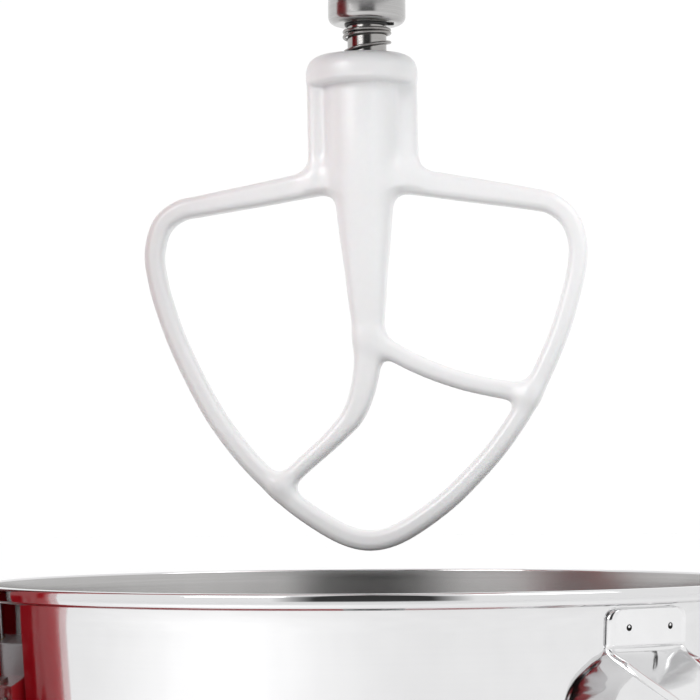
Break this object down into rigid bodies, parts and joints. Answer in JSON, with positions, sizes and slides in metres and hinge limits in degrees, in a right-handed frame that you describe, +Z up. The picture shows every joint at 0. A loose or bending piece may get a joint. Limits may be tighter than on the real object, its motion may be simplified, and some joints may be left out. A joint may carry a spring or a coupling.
{
  "type": "stand mixer",
  "caption": "Bowl-lift stand mixer: red cast base, column and motor head, planetary drive with a white flat beater over a polished steel bowl that a crank raises.",
  "frame": {"origin": "on the surface it stands on, under the middle of the base", "axes": "+X towards the attachment hub at the front, +Z up, so +Y is the crank's side"},
  "size_m": [0.384, 0.29, 0.5651],
  "materials": {
    "red_enamel": "gloss enamel over casting",
    "polished_steel": "polished stainless steel sheet",
    "brushed_steel": "fine brushed stainless steel",
    "shaft_steel": "ground carbon steel",
    "gear_steel": "hobbed and oiled gear steel",
    "spring_steel": "drawn spring wire and strip",
    "white_coating": "satin white nylon coating over a casting",
    "black_plastic": "fine textured moulding",
    "foot_rubber": "moulded rubber",
    "cast_aluminium": "sand blasted casting",
    "bearing_bronze": "sintered bronze",
    "bearing_steel": "ground bearing steel",
    "lamination": "stacked lamination steel",
    "screw_steel": "zinc plated steel",
    "circuit_board": "glass epoxy board with parts"
  },
  "bodies": {
    "frame": {"base_casting": "red_enamel", "rubber_feet": "foot_rubber", "casing_screws": "screw_steel", "column_bolts": "screw_steel", "column_casting": "red_enamel", "column_rear_cover": "red_enamel", "crank_bushings": "bearing_bronze", "guide_rods": "shaft_steel", "power_inlet": "black_plastic", "head_lower": "red_enamel", "head_cover": "red_enamel", "trim_band": "brushed_steel", "drip_ring": "brushed_steel", "hub_socket": "brushed_steel", "hub_cover_pin": "shaft_steel", "speed_plate": "brushed_steel", "gear_housing": "cast_aluminium", "centre_bearing": "bearing_steel", "ring_gear": "gear_steel", "drive_bearings": "bearing_steel", "motor_stator": "lamination", "motor_end_bells": "cast_aluminium", "motor_bearings": "bearing_steel", "brush_holders": "black_plastic", "control_board": "circuit_board"},
    "planetary": {"planetary_carrier": "cast_aluminium", "centre_shaft": "shaft_steel", "crown_wheel": "gear_steel", "agitator_bearing": "bearing_steel"},
    "agitator": {"agitator_shaft": "shaft_steel", "agitator_hub": "brushed_steel", "drive_pin": "shaft_steel", "spring_clip": "shaft_steel", "planet_pinion": "gear_steel", "beater_spring": "spring_steel"},
    "beater": {"flat_beater": "white_coating"},
    "bowl_lift": {"lift_carriage": "cast_aluminium", "carriage_bushings": "bearing_bronze", "bowl_yoke": "red_enamel", "yoke_screws": "screw_steel", "locating_pins": "shaft_steel", "latch_spring": "spring_steel", "lift_rack": "gear_steel", "mixing_bowl": "polished_steel", "bowl_foot_ring": "polished_steel", "bowl_handle": "polished_steel", "bowl_brackets": "polished_steel"},
    "crank": {"crank_shaft": "shaft_steel", "lift_pinion": "gear_steel", "crank_arm": "brushed_steel"},
    "crank_grip": {"crank_grip": "black_plastic"},
    "input_drive": {"input_shaft": "gear_steel", "reduction_gear": "gear_steel"},
    "motor_rotor": {"armature": "lamination", "cooling_fan": "black_plastic", "motor_pinion": "gear_steel"},
    "hub_drive": {"hub_drive_shaft": "gear_steel"},
    "hub_cover": {"hub_cover": "brushed_steel"},
    "hub_knob": {"hub_knob": "black_plastic"},
    "speed_lever": {"speed_lever": "black_plastic"}
  },
  "joints": [
    {"name": "planetary_spin", "type": "hinge", "parent": "frame", "child": "planetary", "pos_m": [0.055, 0, 0.412], "axis": [0, 0, 1], "continuous": true},
    {"name": "agitator_spin", "type": "hinge", "parent": "planetary", "child": "agitator", "pos_m": [0.055, 0.0375, 0.41], "axis": [0, 0, 1], "continuous": true},
    {"name": "beater_push", "type": "slide", "parent": "agitator", "child": "beater", "axis": [0, 0, 1], "range_m": [0, 0.004], "stiffness_N_per_m": 800, "springref_m": -0.008, "deforming": ["beater_spring"]},
    {"name": "bowl_lift", "type": "slide", "parent": "frame", "child": "bowl_lift", "axis": [0, 0, 1], "range_m": [0, 0.162]},
    {"name": "crank_turn", "type": "hinge", "parent": "frame", "child": "crank", "pos_m": [-0.152, 0, 0.215], "axis": [0, -1, 0], "range_deg": [0, 516]},
    {"name": "crank_grip_spin", "type": "hinge", "parent": "crank", "child": "crank_grip", "pos_m": [-0.152, 0.09, 0.265], "axis": [0, 1, 0], "continuous": true},
    {"name": "input_spin", "type": "hinge", "parent": "frame", "child": "input_drive", "pos_m": [0, 0, 0.5], "axis": [1, 0, 0], "continuous": true},
    {"name": "motor_spin", "type": "hinge", "parent": "frame", "child": "motor_rotor", "pos_m": [-0.118, 0, 0.4625], "axis": [1, 0, 0], "continuous": true},
    {"name": "hub_drive_spin", "type": "hinge", "parent": "frame", "child": "hub_drive", "pos_m": [0.12, 0, 0.5], "axis": [1, 0, 0], "continuous": true},
    {"name": "hub_cover_open", "type": "hinge", "parent": "frame", "child": "hub_cover", "pos_m": [0.184, 0, 0.5325], "axis": [0, -1, 0], "range_deg": [0, 100]},
    {"name": "hub_knob_turn", "type": "hinge", "parent": "frame", "child": "hub_knob", "pos_m": [0.1745, -0.046, 0.5], "axis": [0, -1, 0], "continuous": true},
    {"name": "speed_lever_turn", "type": "hinge", "parent": "frame", "child": "speed_lever", "pos_m": [-0.07, -0.068, 0.508], "axis": [0, 1, 0], "range_deg": [0, 60]}
  ],
  "couplings": [
    {"joint": "agitator_spin", "follows": "planetary_spin", "ratio": -4.125},
    {"joint": "input_spin", "follows": "planetary_spin", "ratio": -3},
    {"joint": "motor_spin", "follows": "planetary_spin", "ratio": 12},
    {"joint": "hub_drive_spin", "follows": "planetary_spin", "ratio": 3},
    {"joint": "crank_turn", "follows": "bowl_lift", "rad_per_m": 55.556}
  ]
}
